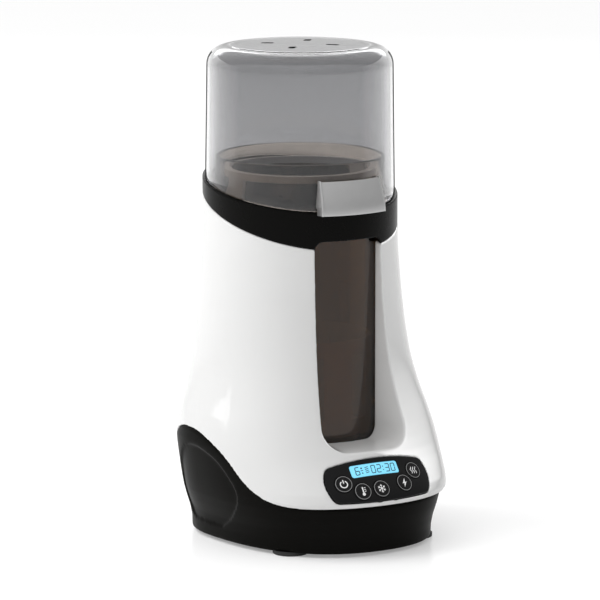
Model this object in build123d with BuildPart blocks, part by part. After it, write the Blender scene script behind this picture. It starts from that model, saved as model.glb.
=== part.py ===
"""Countertop baby-bottle warmer: a white flared body on a black winged base, with a smoked lid, a glazed
water tank, a lift-out basket and a sloping control panel with five keys.

Millimetres, +Z up, front towards -Y. The pieces are drawn about the tank's axis and moved back by AXIS_Y
when they are written, so that the origin is the bottom centre of the whole object's box.
"""

import os
from math import cos, radians, sin

from build123d import *

os.makedirs("parts", exist_ok=True)

# ---------------------------------------------------------------- driving dimensions
AXIS_Y = 17.7  # the tank's axis, behind the middle of the object's box
FIT = 0.15  # gap between moulded pieces that are fastened together
REST_GAP = 0.05  # gap under a piece that rests on another

# Body shell: height, half width, reach to the front, reach to the back, squareness of the plan
ROUND = 0.5523
BODY_SECTIONS = [
    (24.0, 75.0, 94.0, 54.0, 0.66),
    (29.6, 75.3, 95.7, 54.0, 0.66),
    (33.0, 75.6, 97.0, 54.0, 0.66),
    (38.0, 75.9, 94.8, 54.0, 0.66),
    (46.0, 76.3, 88.8, 54.2, 0.66),
    (56.5, 76.2, 81.2, 54.8, 0.66),
    (70.0, 74.0, 74.6, 56.0, 0.65),
    (88.0, 68.5, 68.3, 59.0, 0.63),
    (105.0, 64.6, 64.2, 61.0, 0.60),
    (125.0, 62.0, 61.2, 61.8, 0.575),
    (150.0, 59.7, 58.9, 61.0, 0.56),
    (180.0, 57.9, 57.6, 59.2, ROUND),
    (216.0, 57.4, 57.4, 57.4, ROUND),
]
# Base shell, the same five values; its foot is upright up to the second height
BASE_Z = 2.0
BASE_SECTIONS = [
    (BASE_Z, 64.5, 91.5, 53.0, 0.66),
    (9.0, 64.7, 91.8, 53.0, 0.66),
    (28.0, 71.0, 94.4, 53.0, 0.66),
    (45.0, 73.8, 88.0, 54.0, 0.66),
    (60.0, 75.6, 78.9, 54.9, 0.66),
    (76.0, 72.6, 72.4, 56.8, 0.65),
]
BODY_WALL = 2.4
BASE_WALL = 3.5
SECTION_STEP = 5.5  # spacing of the sections put in between
# Parting line between body and base in side view: a low front, a wing on each side, a low back
PARTING = [(-110, 29.6), (-84, 29.9), (-70, 31.4), (-57, 36.2), (-45, 44.4), (-33, 54.6), (-20, 61.8)]
PARTING += [(-6, 66.4), (7, 67.4), (19, 65.0), (29, 58.6), (38, 50.4), (47, 43.2), (58, 38.8), (80, 37.0)]
SKY_Z = 320.0  # above everything
# Shallow hollow in the outside of each wing, in side view: its curved edge, closed by a straight foot
HOLLOW = [(-17, 10), (-25, 15), (-34, 22.5), (-39, 31.5), (-34, 42), (-23, 52), (-12, 56.5), (3, 57.5)]
HOLLOW += [(16, 50.5), (24, 40), (27, 28), (24, 16), (14, 10)]
HOLLOW_DEPTH = 1.4

# Deck inside the base, and the bottom plate
DECK_Z, DECK_THICKNESS, DECK_OPENING_R = 24.0, 2.5, 34.0
RIBBON_SLOT = ((-14, -79, 0), (14, -63, 60))
BASE_BOSS_R = 4.5
PLATE_THICKNESS = 3.0
FOOT_R, FOOT_SINK = 10.5, 0.5
FEET = {
    "foot_front_left": (-43, -59),
    "foot_front_right": (43, -59),
    "foot_rear_left": (-42, 30),
    "foot_rear_right": (42, 30),
}
SCREW_R, SCREW_HEAD_R, SCREW_HEAD = 1.45, 3.0, 2.0
SCREW_HOLE_R = 1.55
COUNTERBORE = 1.4  # depth that the base screws' heads sink into the plate
BASE_SCREWS = [(-50, 2), (50, 2), (-26, -74), (26, -74)]
BODY_SCREWS = [(-44, -37), (44, -37), (-50, 28), (50, 28)]
BODY_BOSS_R, BODY_BOSS_TOP = 3.6, 140.0

# Collar band and lid
BAND_R, BAND_INNER_R = 57.6, 53.4
BAND_TOP_Z, BAND_TOP_SLOPE = 206.6, 0.178  # at the axis, and the rise to the back per mm
BAND_LOW_Z, BAND_LOW_SLOPE = 193.2, 0.328
SKIRT_R, SKIRT_Z = 54.8, 168.0  # spigot inside the body
ARCH_HALF_WIDTH, ARCH_Z = 22.4, 180.2  # arch over the window
LID_TOP_Z = 289.5
LID_R, LID_RIM_R, LID_RIM_Z = 55.0, 56.2, 190.0
LID_WALL, LID_SHOULDER = 2.2, 11.0
LID_DISC_R, LID_STEP = 41.0, 0.5  # raised disc on top
VENT_RING_R, VENT_LENGTH, VENT_WIDTH = 19.6, 8.0, 4.4
GRIP_TOP_Z, GRIP_LOW_Z = 215.4, 196.0
GRIP_TOP_R, GRIP_LOW_R = 58.0, 63.2
GRIP_TOP_HALF, GRIP_LOW_HALF = 20.6, 21.8

# Tank, window, heater and basket
TANK_R, TANK_WALL = 50.0, 2.4
TANK_Z, TANK_FLOOR, TANK_RIM_Z = 49.0, 3.0, 224.5
TANK_OUTLET_R = 37.0
WINDOW_R, WINDOW_GLASS = 53.0, 2.0
WINDOW_HALF_WIDTH, WINDOW_Z = 21.3, 60.8
HEATER_Z, HEATER_PLATE, HEATER_R = 45.5, 2.0, 44.5
ELEMENT_R, ELEMENT_TUBE_R = 26.0, 3.2
BASKET_R, BASKET_WALL, BASKET_Z, BASKET_RIM_Z = 42.0, 1.8, 60.0, 118.0
HANDLE_RING_Z, HANDLE_RING = 213.0, 4.0

# Control panel on the sloping apron: u runs across it and v up it from the plane's origin
PANEL_TILT = 34.0  # lean of the apron from the vertical, degrees
PANEL_ORIGIN = (0, -88.9, 45.2)
PANEL_PROUD, PANEL_DEPTH = 0.6, 2.45
FRAME_LOW_Z = 30.6
KEY_R, KEY_HOLE_R, KEY_FLANGE_R = 5.3, 5.45, 5.8
KEY_PROUD, KEY_GAP = 0.95, 0.15
KEY_FLANGE_N, KEY_STEM_N, KEY_STEM_R = -6.9, -8.0, 1.6
KEYS = {
    "key_power": (-25.0, -0.6),
    "key_room": (-14.9, -7.1),
    "key_cold": (-2.6, -7.1),
    "key_quick": (14.2, -5.0),
    "key_steady": (23.8, 2.6),
}
LCD_CENTRE, LCD_SIZE, LCD_CORNER = (-2.2, 5.9), (32.0, 7.6), 1.4
BOARD_N, BOARD_THICKNESS = -12.0, 1.6
BOARD_SIZE, BOARD_CENTRE = (58.0, 21.0), (0.0, -0.1)

# Mains side
POWER_BOARD_Z, POWER_BOARD_SIZE, POWER_BOARD_Y = 9.0, (64.0, 52.0), -14.0
GLAND_Z, GLAND_BORE_R, GLAND_R, GLAND_FLANGE_R = 14.5, 3.25, 5.5, 7.5


# ---------------------------------------------------------------- helpers
def save(piece, name):
    """Labels a finished piece, moves it to the row frame and writes it."""
    placed = piece.moved(Location((0, AXIS_Y, 0)))
    placed.label = name
    export_step(placed, f"parts/{name}.step")


def oval(section, grow=0.0):
    """Closed plan outline of one section, grown sideways by grow: four quarter curves."""
    z, half_width, front, back, square = section
    w, f, b = half_width + grow, front + grow, back + grow
    corners = [(w, 0), (0, b), (-w, 0), (0, -f)]
    with BuildSketch(Plane.XY.offset(z)) as plan:
        with BuildLine():
            for i in range(4):
                (x0, y0), (x1, y1) = corners[i], corners[(i + 1) % 4]
                first = (x0 + square * x1, y0 + square * y1)
                second = (x1 + square * x0, y1 + square * y0)
                Bezier((x0, y0), first, second, (x1, y1))
        make_face()
    return plan.sketch


def slopes(sections):
    """Change of each section value per mm of height, kept free of overshoot between the sections."""
    steps = []
    for low, high in zip(sections, sections[1:]):
        steps.append([(b - a) / (high[0] - low[0]) for a, b in zip(low, high)])
    middle = []
    for before, after in zip(steps, steps[1:]):
        middle.append([2 * a * b / (a + b) if a * b > 0 else 0.0 for a, b in zip(before, after)])
    return [steps[0], *middle, steps[-1]]


def smoothed(sections):
    """The sections with more put in between them on smooth curves."""
    rates = slopes(sections)
    result = [sections[0]]
    for low, high, rate_low, rate_high in zip(sections, sections[1:], rates, rates[1:]):
        height = high[0] - low[0]
        parts = max(1, min(4, round(height / SECTION_STEP)))
        for i in range(1, parts + 1):
            t = i / parts
            keep = 1 - 3 * t**2 + 2 * t**3
            gain, drop = height * (t - 2 * t**2 + t**3), height * (t**3 - t**2)
            values = zip(low, high, rate_low, rate_high)
            result.append(tuple(a * keep + b * (1 - keep) + r * gain + q * drop for a, b, r, q in values))
    return result


def lofted(sections, grow=0.0):
    """Solid through all the sections, grown sideways by grow."""
    with BuildPart() as solid:
        loft([oval(s, grow) for s in smoothed(sections)], ruled=True)
    return solid.part


def leaning(z_axis, slope):
    """Plane that crosses the axis at z_axis and rises to the back by slope; its normal points up."""
    return Plane(origin=(0, 0, z_axis), x_dir=(1, 0, 0), z_dir=(0, -slope, 1))


def column(radius, low, high, centres=((0, 0),), inner=0.0):
    """Upright cylinders or tubes from low to high at the centres."""
    with BuildPart() as made:
        with BuildSketch(Plane.XY.offset(low)):
            with Locations(*centres):
                Circle(radius)
                if inner:
                    Circle(inner, mode=Mode.SUBTRACT)
        extrude(amount=high - low)
    return made.part


def block(low, high):
    """Box between two corners."""
    size = [b - a for a, b in zip(low, high)]
    with BuildPart(Plane(origin=low)) as made:
        Box(*size, align=(Align.MIN, Align.MIN, Align.MIN))
    return made.part


def screws(centres, head_z, length, head_up=False):
    """Pan-head screws; head_z is the face the head bears on."""
    with BuildPart() as made:
        if head_up:
            add(column(SCREW_HEAD_R, head_z, head_z + SCREW_HEAD, centres))
            add(column(SCREW_R, head_z - length, head_z, centres))
        else:
            add(column(SCREW_HEAD_R, head_z - SCREW_HEAD, head_z, centres))
            add(column(SCREW_R, head_z, head_z + length, centres))
    return made.part


def parting_region(lift=0.0):
    """Everything above the parting line, raised by lift."""
    with BuildPart() as region:
        with BuildSketch(Plane.YZ):
            with BuildLine():
                line = Spline([(y, z + lift) for y, z in PARTING])
                Polyline(line @ 1, (PARTING[-1][0], SKY_Z), (PARTING[0][0], SKY_Z), line @ 0)
            make_face()
        extrude(amount=120, both=True)
    return region.part


panel_plane = Plane(
    origin=PANEL_ORIGIN,
    x_dir=(1, 0, 0),
    z_dir=(0, -cos(radians(PANEL_TILT)), sin(radians(PANEL_TILT))),
)


def panel_prism(grow, low_n, high_n):
    """The panel's rounded outline, grown by grow, from low_n to high_n along the panel's normal."""
    with BuildPart() as prism:
        with BuildSketch(panel_plane.offset(low_n)) as outline:
            with BuildLine():
                top_x, side_x, low_x = 32.0 + grow, 34.8 + grow, 31.2 + grow
                top_v, low_v = 10.7 + grow, -10.8 - grow
                top = ThreePointArc((-top_x, top_v), (0, top_v + 2.0), (top_x, top_v))
                right = ThreePointArc(top @ 1, (side_x, 0.6), (low_x, low_v))
                low = ThreePointArc(right @ 1, (0, low_v - 3.5), (-low_x, low_v))
                ThreePointArc(low @ 1, (-side_x, 0.6), top @ 0)
            make_face()
            fillet(outline.vertices(), 4.4 + grow)
        extrude(amount=high_n - low_n)
    return prism.part


def panel_block(centre, size, low_n, high_n, corner=0.0):
    """Box on the panel, by its centre and size in u and v and its reach along the normal."""
    with BuildPart() as made:
        with BuildSketch(panel_plane.offset(low_n)):
            with Locations(centre):
                if corner:
                    RectangleRounded(*size, corner)
                else:
                    Rectangle(*size)
        extrude(amount=high_n - low_n)
    return made.part


def panel_round(centres, radius, low_n, high_n):
    """Cylinders square to the panel."""
    with BuildPart() as made:
        with BuildSketch(panel_plane.offset(low_n)):
            with Locations(*centres):
                Circle(radius)
        extrude(amount=high_n - low_n)
    return made.part


# ---------------------------------------------------------------- solids that several pieces share
body_outer = lofted(BODY_SECTIONS)
body_inner = lofted(BODY_SECTIONS, -BODY_WALL)
panel_face = lofted(BODY_SECTIONS, PANEL_PROUD)
key_face = lofted(BODY_SECTIONS, KEY_PROUD)
panel_back = lofted(BODY_SECTIONS, -PANEL_DEPTH)
key_back = lofted(BODY_SECTIONS, -PANEL_DEPTH - KEY_GAP)
frame_back = lofted(BODY_SECTIONS, -4.8)
base_outer = lofted(BASE_SECTIONS)
base_inner = lofted(BASE_SECTIONS, -BASE_WALL)
above_parting = parting_region(FIT / 2)
above_parting_low = parting_region(-FIT / 2)
below_band = leaning(BAND_LOW_Z - REST_GAP, BAND_LOW_SLOPE)
band_low = leaning(BAND_LOW_Z, BAND_LOW_SLOPE)
band_top = leaning(BAND_TOP_Z, BAND_TOP_SLOPE)


def recess(wall=0.0):
    """The window's pocket, a drafted slot from the glass outwards, thickened by wall."""
    with BuildPart() as slot:
        for depth in (40, 112):
            half = WINDOW_HALF_WIDTH + 0.34 * (depth - 49) + wall
            low = WINDOW_Z - 0.06 * (depth - WINDOW_R) - wall
            corner = 8 + 0.3 * (depth - 49) + wall
            with BuildSketch(Plane.XZ.offset(depth)):
                with BuildLine():
                    FilletPolyline((-half, 214), (-half, low), (half, low), (half, 214), radius=corner)
                    Line((half, 214), (-half, 214))
                make_face()
        loft(ruled=True)
        add(column(WINDOW_R + REST_GAP, 0, 230), mode=Mode.SUBTRACT)
    return slot.part


# ---------------------------------------------------------------- base
deck_top, plate_top = DECK_Z + DECK_THICKNESS, BASE_Z + PLATE_THICKNESS
with BuildPart() as deck:
    add(block((-90, -110, DECK_Z), (90, 90, deck_top)))
    add(column(DECK_OPENING_R, 0, 60), mode=Mode.SUBTRACT)
    add(block(*RIBBON_SLOT), mode=Mode.SUBTRACT)
    add(column(BASE_BOSS_R, plate_top + REST_GAP, DECK_Z, BASE_SCREWS))
    add(base_outer, mode=Mode.INTERSECT)

with BuildPart() as wing_hollows:
    with BuildSketch(Plane.YZ):
        with BuildLine():
            edge = Spline(HOLLOW)
            Line(edge @ 1, edge @ 0)
        make_face()
    extrude(amount=120, both=True)
    add(lofted(BASE_SECTIONS, -HOLLOW_DEPTH), mode=Mode.SUBTRACT)

with BuildPart() as base_shell:
    add(base_outer)
    add(base_inner, mode=Mode.SUBTRACT)
    add(deck.part)
    add(above_parting_low, mode=Mode.SUBTRACT)
    add(wing_hollows.part, mode=Mode.SUBTRACT)
    add(column(FOOT_R + 0.1, 0, BASE_Z + FOOT_SINK, FEET.values()), mode=Mode.SUBTRACT)
    add(column(SCREW_HOLE_R, 0, 20, BASE_SCREWS), mode=Mode.SUBTRACT)
    add(column(SCREW_HOLE_R, 20, 40, BODY_SCREWS), mode=Mode.SUBTRACT)
    with Locations(Plane(origin=(0, 40, GLAND_Z), z_dir=(0, 1, 0))):
        Cylinder(GLAND_R + 0.1, 20, align=(Align.CENTER, Align.CENTER, Align.MIN), mode=Mode.SUBTRACT)
save(base_shell.part, "base_shell")

with BuildPart() as base_plate:
    with BuildSketch(Plane.XY.offset(BASE_Z)):
        add(oval(BASE_SECTIONS[0], -BASE_WALL - FIT))
    extrude(amount=PLATE_THICKNESS)
    add(column(FOOT_R + 0.1, 0, BASE_Z + FOOT_SINK, FEET.values()), mode=Mode.SUBTRACT)
    add(column(SCREW_HEAD_R + 0.2, 0, BASE_Z + COUNTERBORE, BASE_SCREWS), mode=Mode.SUBTRACT)
    add(column(SCREW_HOLE_R, 0, 10, BASE_SCREWS), mode=Mode.SUBTRACT)
    with Locations(*[(x, y, 0) for x in (-20, -10, 0, 10, 20) for y in (-38, 12)]):
        Box(3, 14, 20, mode=Mode.SUBTRACT)
save(base_plate.part, "base_plate")

for foot_name, (foot_x, foot_y) in FEET.items():
    with BuildPart() as foot:
        add(column(FOOT_R, 0, BASE_Z + FOOT_SINK, [(foot_x, foot_y)]))
        fillet(foot.edges().group_by(Axis.Z)[0], 0.8)
    save(foot.part, foot_name)

with BuildPart() as base_screws:
    add(screws(BASE_SCREWS, BASE_Z + COUNTERBORE, 14))
save(base_screws.part, "base_screws")

# ---------------------------------------------------------------- body
with BuildPart() as pocket_walls:
    add(recess(BODY_WALL))
    add(body_outer, mode=Mode.INTERSECT)

with BuildPart() as bosses:
    add(column(BODY_BOSS_R, deck_top + REST_GAP, BODY_BOSS_TOP, BODY_SCREWS))
    add(body_outer, mode=Mode.INTERSECT)
    add(column(SCREW_HOLE_R, 0, 42, BODY_SCREWS), mode=Mode.SUBTRACT)

with BuildPart() as body_shell:
    add(body_outer)
    add(body_inner, mode=Mode.SUBTRACT)
    add(pocket_walls.part)
    add(recess(), mode=Mode.SUBTRACT)
    add(above_parting, mode=Mode.INTERSECT)
    add(bosses.part)
    split(bisect_by=below_band, keep=Keep.BOTTOM)
    add(panel_prism(FIT, -12, 12), mode=Mode.SUBTRACT)
save(body_shell.part, "body_shell")

with BuildPart() as body_screws:
    add(screws(BODY_SCREWS, DECK_Z, 16))
save(body_screws.part, "body_screws")

with BuildPart() as window_lens:
    add(column(WINDOW_R, WINDOW_Z - 4, 188, inner=WINDOW_R - WINDOW_GLASS))
    half_lens = WINDOW_HALF_WIDTH + 3.5
    add(block((-half_lens, -60, 0), (half_lens, -30, SKY_Z)), mode=Mode.INTERSECT)
save(window_lens.part, "window_lens")

# ---------------------------------------------------------------- collar
with BuildPart() as arch:
    with BuildSketch(Plane.XZ.offset(40)):
        with BuildLine():
            span = ARCH_HALF_WIDTH
            FilletPolyline((-span, 150), (-span, ARCH_Z), (span, ARCH_Z), (span, 150), radius=5)
            Line((span, 150), (-span, 150))
        make_face()
    extrude(amount=30)

with BuildPart() as skirt:
    add(column(SKIRT_R, SKIRT_Z, 230, inner=BAND_INNER_R))
    add(block((-29, -70, 0), (29, -30, ARCH_Z + 3)), mode=Mode.SUBTRACT)

with BuildPart() as collar_band:
    add(column(BAND_R, 150, 230, inner=BAND_INNER_R))
    split(bisect_by=band_low, keep=Keep.TOP)
    add(arch.part, mode=Mode.SUBTRACT)
    add(skirt.part)
    split(bisect_by=band_top, keep=Keep.BOTTOM)
save(collar_band.part, "collar_band")

with BuildPart() as collar_gasket:
    add(column(BAND_INNER_R - REST_GAP, 180, 230, inner=TANK_R + REST_GAP))
    split(bisect_by=leaning(BAND_TOP_Z - 2.0, BAND_TOP_SLOPE), keep=Keep.BOTTOM)
    split(bisect_by=leaning(BAND_TOP_Z - 5.0, BAND_TOP_SLOPE), keep=Keep.TOP)
save(collar_gasket.part, "collar_gasket")

# ---------------------------------------------------------------- lid
def dome(inset):
    """Half profile of the lid's outside, moved in by inset, revolved about the axis."""
    with BuildPart() as made:
        with BuildSketch(Plane.XZ):
            with BuildLine():
                crown_z, step_z = LID_TOP_Z - inset, LID_TOP_Z - 2 * LID_STEP - inset
                side_r, disc_r = LID_R - inset, LID_DISC_R - inset / 2
                radius = LID_SHOULDER - inset / 2
                disc_edge = (disc_r, crown_z - LID_STEP)
                crown = ThreePointArc((0, crown_z), (disc_r / 2, crown_z - 0.12), disc_edge)
                step = Line(crown @ 1, (disc_r + 0.7, step_z))
                flat = Line(step @ 1, (side_r - radius, step_z))
                turn = radius * sin(radians(45))
                middle = (side_r - radius + turn, step_z - radius + turn)
                shoulder = ThreePointArc(flat @ 1, middle, (side_r, step_z - radius))
                side = Line(shoulder @ 1, (LID_RIM_R - inset, LID_RIM_Z))
                Polyline(side @ 1, (0, LID_RIM_Z), (0, crown_z))
            make_face()
        revolve(axis=Axis.Z)
    return made.part


with BuildPart() as lid:
    add(dome(0))
    add(dome(LID_WALL), mode=Mode.SUBTRACT)
    split(bisect_by=leaning(BAND_TOP_Z + REST_GAP, BAND_TOP_SLOPE), keep=Keep.TOP)
    with BuildSketch(Plane.XY.offset(LID_TOP_Z + 1)):
        with PolarLocations(VENT_RING_R, 4, start_angle=45):
            SlotOverall(VENT_LENGTH, VENT_WIDTH)
    extrude(amount=-8, mode=Mode.SUBTRACT)
save(lid.part, "lid")

with BuildPart() as grip_sides:
    with BuildSketch(Plane.XZ.offset(40)):
        corners = [(-GRIP_TOP_HALF, GRIP_TOP_Z + 1), (GRIP_TOP_HALF, GRIP_TOP_Z + 1)]
        corners += [(GRIP_LOW_HALF, GRIP_LOW_Z - 1), (-GRIP_LOW_HALF, GRIP_LOW_Z - 1)]
        Polygon(*corners, align=None)
    extrude(amount=40)

grip_back_r = BAND_R + 0.35  # clear of the collar band
with BuildPart() as lid_grip:
    with BuildSketch(Plane.XZ):
        with BuildLine():
            Polyline(
                (50, GRIP_TOP_Z),
                (GRIP_TOP_R, GRIP_TOP_Z),
                (GRIP_LOW_R, GRIP_LOW_Z),
                (grip_back_r, GRIP_LOW_Z),
                (grip_back_r, GRIP_LOW_Z + 4),
                (50, GRIP_LOW_Z + 4),
                close=True,
            )
        make_face()
    revolve(axis=Axis.Z)
    add(grip_sides.part, mode=Mode.INTERSECT)
    add(dome(0), mode=Mode.SUBTRACT)
save(lid_grip.part, "lid_grip")

# ---------------------------------------------------------------- tank and heater
heater_screw_spots = [(43.0 * cos(radians(a)), 43.0 * sin(radians(a))) for a in (45, 135, 225, 315)]
heater_top = HEATER_Z + HEATER_PLATE
with BuildPart() as tank:
    add(column(TANK_R, TANK_Z, TANK_RIM_Z))
    add(column(TANK_R - TANK_WALL, TANK_Z + TANK_FLOOR, TANK_RIM_Z), mode=Mode.SUBTRACT)
    add(column(TANK_OUTLET_R, TANK_Z, TANK_Z + TANK_FLOOR), mode=Mode.SUBTRACT)
    add(column(1.25, TANK_Z, TANK_Z + 2.2, heater_screw_spots), mode=Mode.SUBTRACT)
    fillet(tank.edges().filter_by(GeomType.CIRCLE).group_by(Axis.Z)[-1], 0.9)
save(tank.part, "tank")

with BuildPart() as tank_seal:
    add(column(41.4, heater_top, TANK_Z, inner=TANK_OUTLET_R))
save(tank_seal.part, "tank_seal")

with BuildPart() as heater_plate:
    add(column(HEATER_R, HEATER_Z, heater_top))
    add(column(1.35, 0, 60, heater_screw_spots), mode=Mode.SUBTRACT)
save(heater_plate.part, "heater_plate")

with BuildPart() as heater_clamp:
    add(column(HEATER_R, HEATER_Z - 2, HEATER_Z, inner=39.0))
    add(column(1.35, 0, 60, heater_screw_spots), mode=Mode.SUBTRACT)
save(heater_clamp.part, "heater_clamp")

with BuildPart() as heater_screws:
    add(column(1.2, HEATER_Z - 2, TANK_Z + 2, heater_screw_spots))
    add(column(1.9, HEATER_Z - 3.6, HEATER_Z - 2, heater_screw_spots))
save(heater_screws.part, "heater_screws")

element_z = HEATER_Z - ELEMENT_TUBE_R
terminal_spots = [(ELEMENT_R * cos(radians(a)), ELEMENT_R * sin(radians(a))) for a in (-60, -120)]
with BuildPart() as heater_element:
    with BuildSketch(Plane(origin=(*terminal_spots[0], element_z), z_dir=(sin(radians(60)), 0.5, 0))):
        Circle(ELEMENT_TUBE_R)
    revolve(axis=Axis.Z, revolution_arc=300)
    add(column(ELEMENT_TUBE_R - 0.2, 33, element_z, terminal_spots))
save(heater_element.part, "heater_element")

with BuildPart() as heater_leads:
    add(column(1.2, POWER_BOARD_Z + 9.6, 33, terminal_spots))
save(heater_leads.part, "heater_leads")

with BuildPart() as thermistor:
    add(column(3.0, HEATER_Z - 7, HEATER_Z, [(0, 0)]))
    add(column(5.0, HEATER_Z - 1.2, HEATER_Z, [(0, 0)]))
save(thermistor.part, "thermistor")

with BuildPart() as thermal_fuse:
    with Locations(Plane(origin=(-7, 12, HEATER_Z - 2.4), z_dir=(1, 0, 0))):
        Cylinder(2.0, 14, align=(Align.CENTER, Align.CENTER, Align.MIN))
    add(block((-4, 9, HEATER_Z - 4.9), (4, 15, HEATER_Z)))
save(thermal_fuse.part, "thermal_fuse")

chassis_screw_spots = [(50.2 * cos(radians(a)), 50.2 * sin(radians(a))) for a in (0, 180, 270)]
with BuildPart() as chassis:
    add(column(53.2, deck_top, deck_top + 2.5, inner=40.0))
    add(column(TANK_R - 1, deck_top, TANK_Z, inner=HEATER_R + 0.4))
    add(column(SCREW_HOLE_R, 20, 60, chassis_screw_spots), mode=Mode.SUBTRACT)
    add(column(SCREW_HEAD_R + 0.2, deck_top + 2.5, 40, chassis_screw_spots), mode=Mode.SUBTRACT)
    add(block((-8, -60, deck_top + 4), (8, 60, 42)), mode=Mode.SUBTRACT)
    add(lofted(BASE_SECTIONS, -BASE_WALL - FIT), mode=Mode.INTERSECT)
save(chassis.part, "chassis")

with BuildPart() as chassis_screws:
    add(screws(chassis_screw_spots, deck_top + 2.5, 2.4, head_up=True))
save(chassis_screws.part, "chassis_screws")

# ---------------------------------------------------------------- lift-out basket
with BuildPart() as lift_basket:
    add(column(BASKET_R, BASKET_Z, BASKET_RIM_Z))
    add(column(BASKET_R - BASKET_WALL, BASKET_Z + 2, BASKET_RIM_Z), mode=Mode.SUBTRACT)
    add(column(7, BASKET_Z, BASKET_Z + 2), mode=Mode.SUBTRACT)
    with PolarLocations(BASKET_R, 8, start_angle=22.5):
        with Locations((0, 0, 90)):
            Box(12, 14, 38, mode=Mode.SUBTRACT)
    add(column(3.2, TANK_Z + TANK_FLOOR + 0.05, BASKET_Z, [(0, 39.5), (34.2, -19.8), (-34.2, -19.8)]))
save(lift_basket.part, "lift_basket")

with BuildPart() as lift_pad:
    add(column(37.0, BASKET_Z + 2, BASKET_Z + 4, inner=9.0))
save(lift_pad.part, "lift_pad")

with BuildPart() as straps:
    add(column(BASKET_R + 1.9, 96, HANDLE_RING_Z, inner=BASKET_R + 0.1))
    add(block((-60, -8, 0), (60, 8, SKY_Z)), mode=Mode.INTERSECT)

with BuildPart() as lift_handle:
    add(column(BASKET_R + 3.4, HANDLE_RING_Z, HANDLE_RING_Z + HANDLE_RING, inner=BASKET_R + 0.1))
    add(straps.part)
save(lift_handle.part, "lift_handle")

# ---------------------------------------------------------------- control panel
key_centres = list(KEYS.values())
with BuildPart() as panel_overlay:
    add(panel_prism(0, -14, 8))
    add(panel_face, mode=Mode.INTERSECT)
    add(panel_back, mode=Mode.SUBTRACT)
    add(panel_round(key_centres, KEY_HOLE_R, -16, 8), mode=Mode.SUBTRACT)
    lcd_hole = (LCD_SIZE[0] + 0.2, LCD_SIZE[1] + 0.2)
    add(panel_block(LCD_CENTRE, lcd_hole, -16, 8, LCD_CORNER + 0.1), mode=Mode.SUBTRACT)
save(panel_overlay.part, "panel_overlay")

with BuildPart() as panel_frame:
    add(panel_prism(2.6, -14, 4))
    add(panel_back, mode=Mode.INTERSECT)
    add(frame_back, mode=Mode.SUBTRACT)
    add(panel_prism(-1.4, -18, 8), mode=Mode.SUBTRACT)
    add(panel_round(key_centres, KEY_FLANGE_R + 0.3, -18, 8), mode=Mode.SUBTRACT)
    add(recess(BODY_WALL + 0.2), mode=Mode.SUBTRACT)
    add(block((-90, -110, FRAME_LOW_Z), (90, 0, SKY_Z)), mode=Mode.INTERSECT)
save(panel_frame.part, "panel_frame")

with BuildPart() as lcd_glass:
    add(panel_block(LCD_CENTRE, LCD_SIZE, -10, 8, LCD_CORNER))
    add(body_outer, mode=Mode.INTERSECT)
    add(lofted(BODY_SECTIONS, -1.6), mode=Mode.SUBTRACT)
save(lcd_glass.part, "lcd_glass")

lcd_u, lcd_v = LCD_CENTRE
lcd_width, lcd_height = LCD_SIZE
with BuildPart() as lcd_module:
    add(panel_block(LCD_CENTRE, (lcd_width - 1, lcd_height - 1), -10, -4.6))
    add(panel_block((lcd_u, lcd_v + 0.3), (lcd_width + 4, lcd_height - 0.2), BOARD_N, -9.4))
save(lcd_module.part, "lcd_module")

with BuildPart() as control_board:
    add(panel_block(BOARD_CENTRE, BOARD_SIZE, BOARD_N - BOARD_THICKNESS, BOARD_N, 1.5))
save(control_board.part, "control_board")

with BuildPart() as key_switches:
    with BuildSketch(panel_plane.offset(BOARD_N)):
        with Locations(*key_centres):
            Rectangle(6, 6)
    extrude(amount=2.7)
    add(panel_round(key_centres, 1.7, BOARD_N, KEY_STEM_N - 0.9))
save(key_switches.part, "key_switches")

with BuildPart() as buzzer:
    add(panel_round([(24.5, -6.4)], 3.4, BOARD_N, BOARD_N + 3.2))
save(buzzer.part, "buzzer")

for key_name, centre in KEYS.items():
    with BuildPart() as flange:
        add(panel_round([centre], KEY_FLANGE_R, KEY_FLANGE_N, 4))
        add(key_back, mode=Mode.INTERSECT)
    with BuildPart() as key:
        add(panel_round([centre], KEY_R, KEY_FLANGE_N, 8))
        add(key_face, mode=Mode.INTERSECT)
        add(flange.part)
        add(panel_round([centre], KEY_STEM_R, KEY_STEM_N, KEY_FLANGE_N))
    save(key.part, key_name)

# ---------------------------------------------------------------- mains side
board_x, board_y = POWER_BOARD_SIZE[0] / 2, POWER_BOARD_SIZE[1] / 2
board_top = POWER_BOARD_Z + BOARD_THICKNESS
standoff_spots = [(x, POWER_BOARD_Y + y) for x in (-28, 28) for y in (-22, 22)]
with BuildPart() as power_board:
    low_corner = (-board_x, POWER_BOARD_Y - board_y, POWER_BOARD_Z)
    high_corner = (board_x, POWER_BOARD_Y + board_y, board_top)
    add(block(low_corner, high_corner))
    add(column(1.6, 0, 40, standoff_spots), mode=Mode.SUBTRACT)
save(power_board.part, "power_board")

with BuildPart() as board_standoffs:
    add(column(3.2, plate_top, POWER_BOARD_Z, standoff_spots))
    add(column(1.5, POWER_BOARD_Z, board_top, standoff_spots))
    add(column(2.6, board_top, board_top + 1.2, standoff_spots))
save(board_standoffs.part, "board_standoffs")

with BuildPart() as power_transformer:
    add(block((4, -8, board_top), (24, 8, board_top + 11)))
    add(block((8, -10, board_top + 2), (20, 10, board_top + 9)))
save(power_transformer.part, "power_transformer")

with BuildPart() as power_relay:
    add(block((-24, -6, board_top), (-5, 9, board_top + 11.5)))
save(power_relay.part, "power_relay")

with BuildPart() as power_capacitor:
    add(column(5.0, board_top, board_top + 12, [(16, -33.5)]))
    fillet(power_capacitor.edges().group_by(Axis.Z)[-1], 0.8)
save(power_capacitor.part, "power_capacitor")

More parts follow.
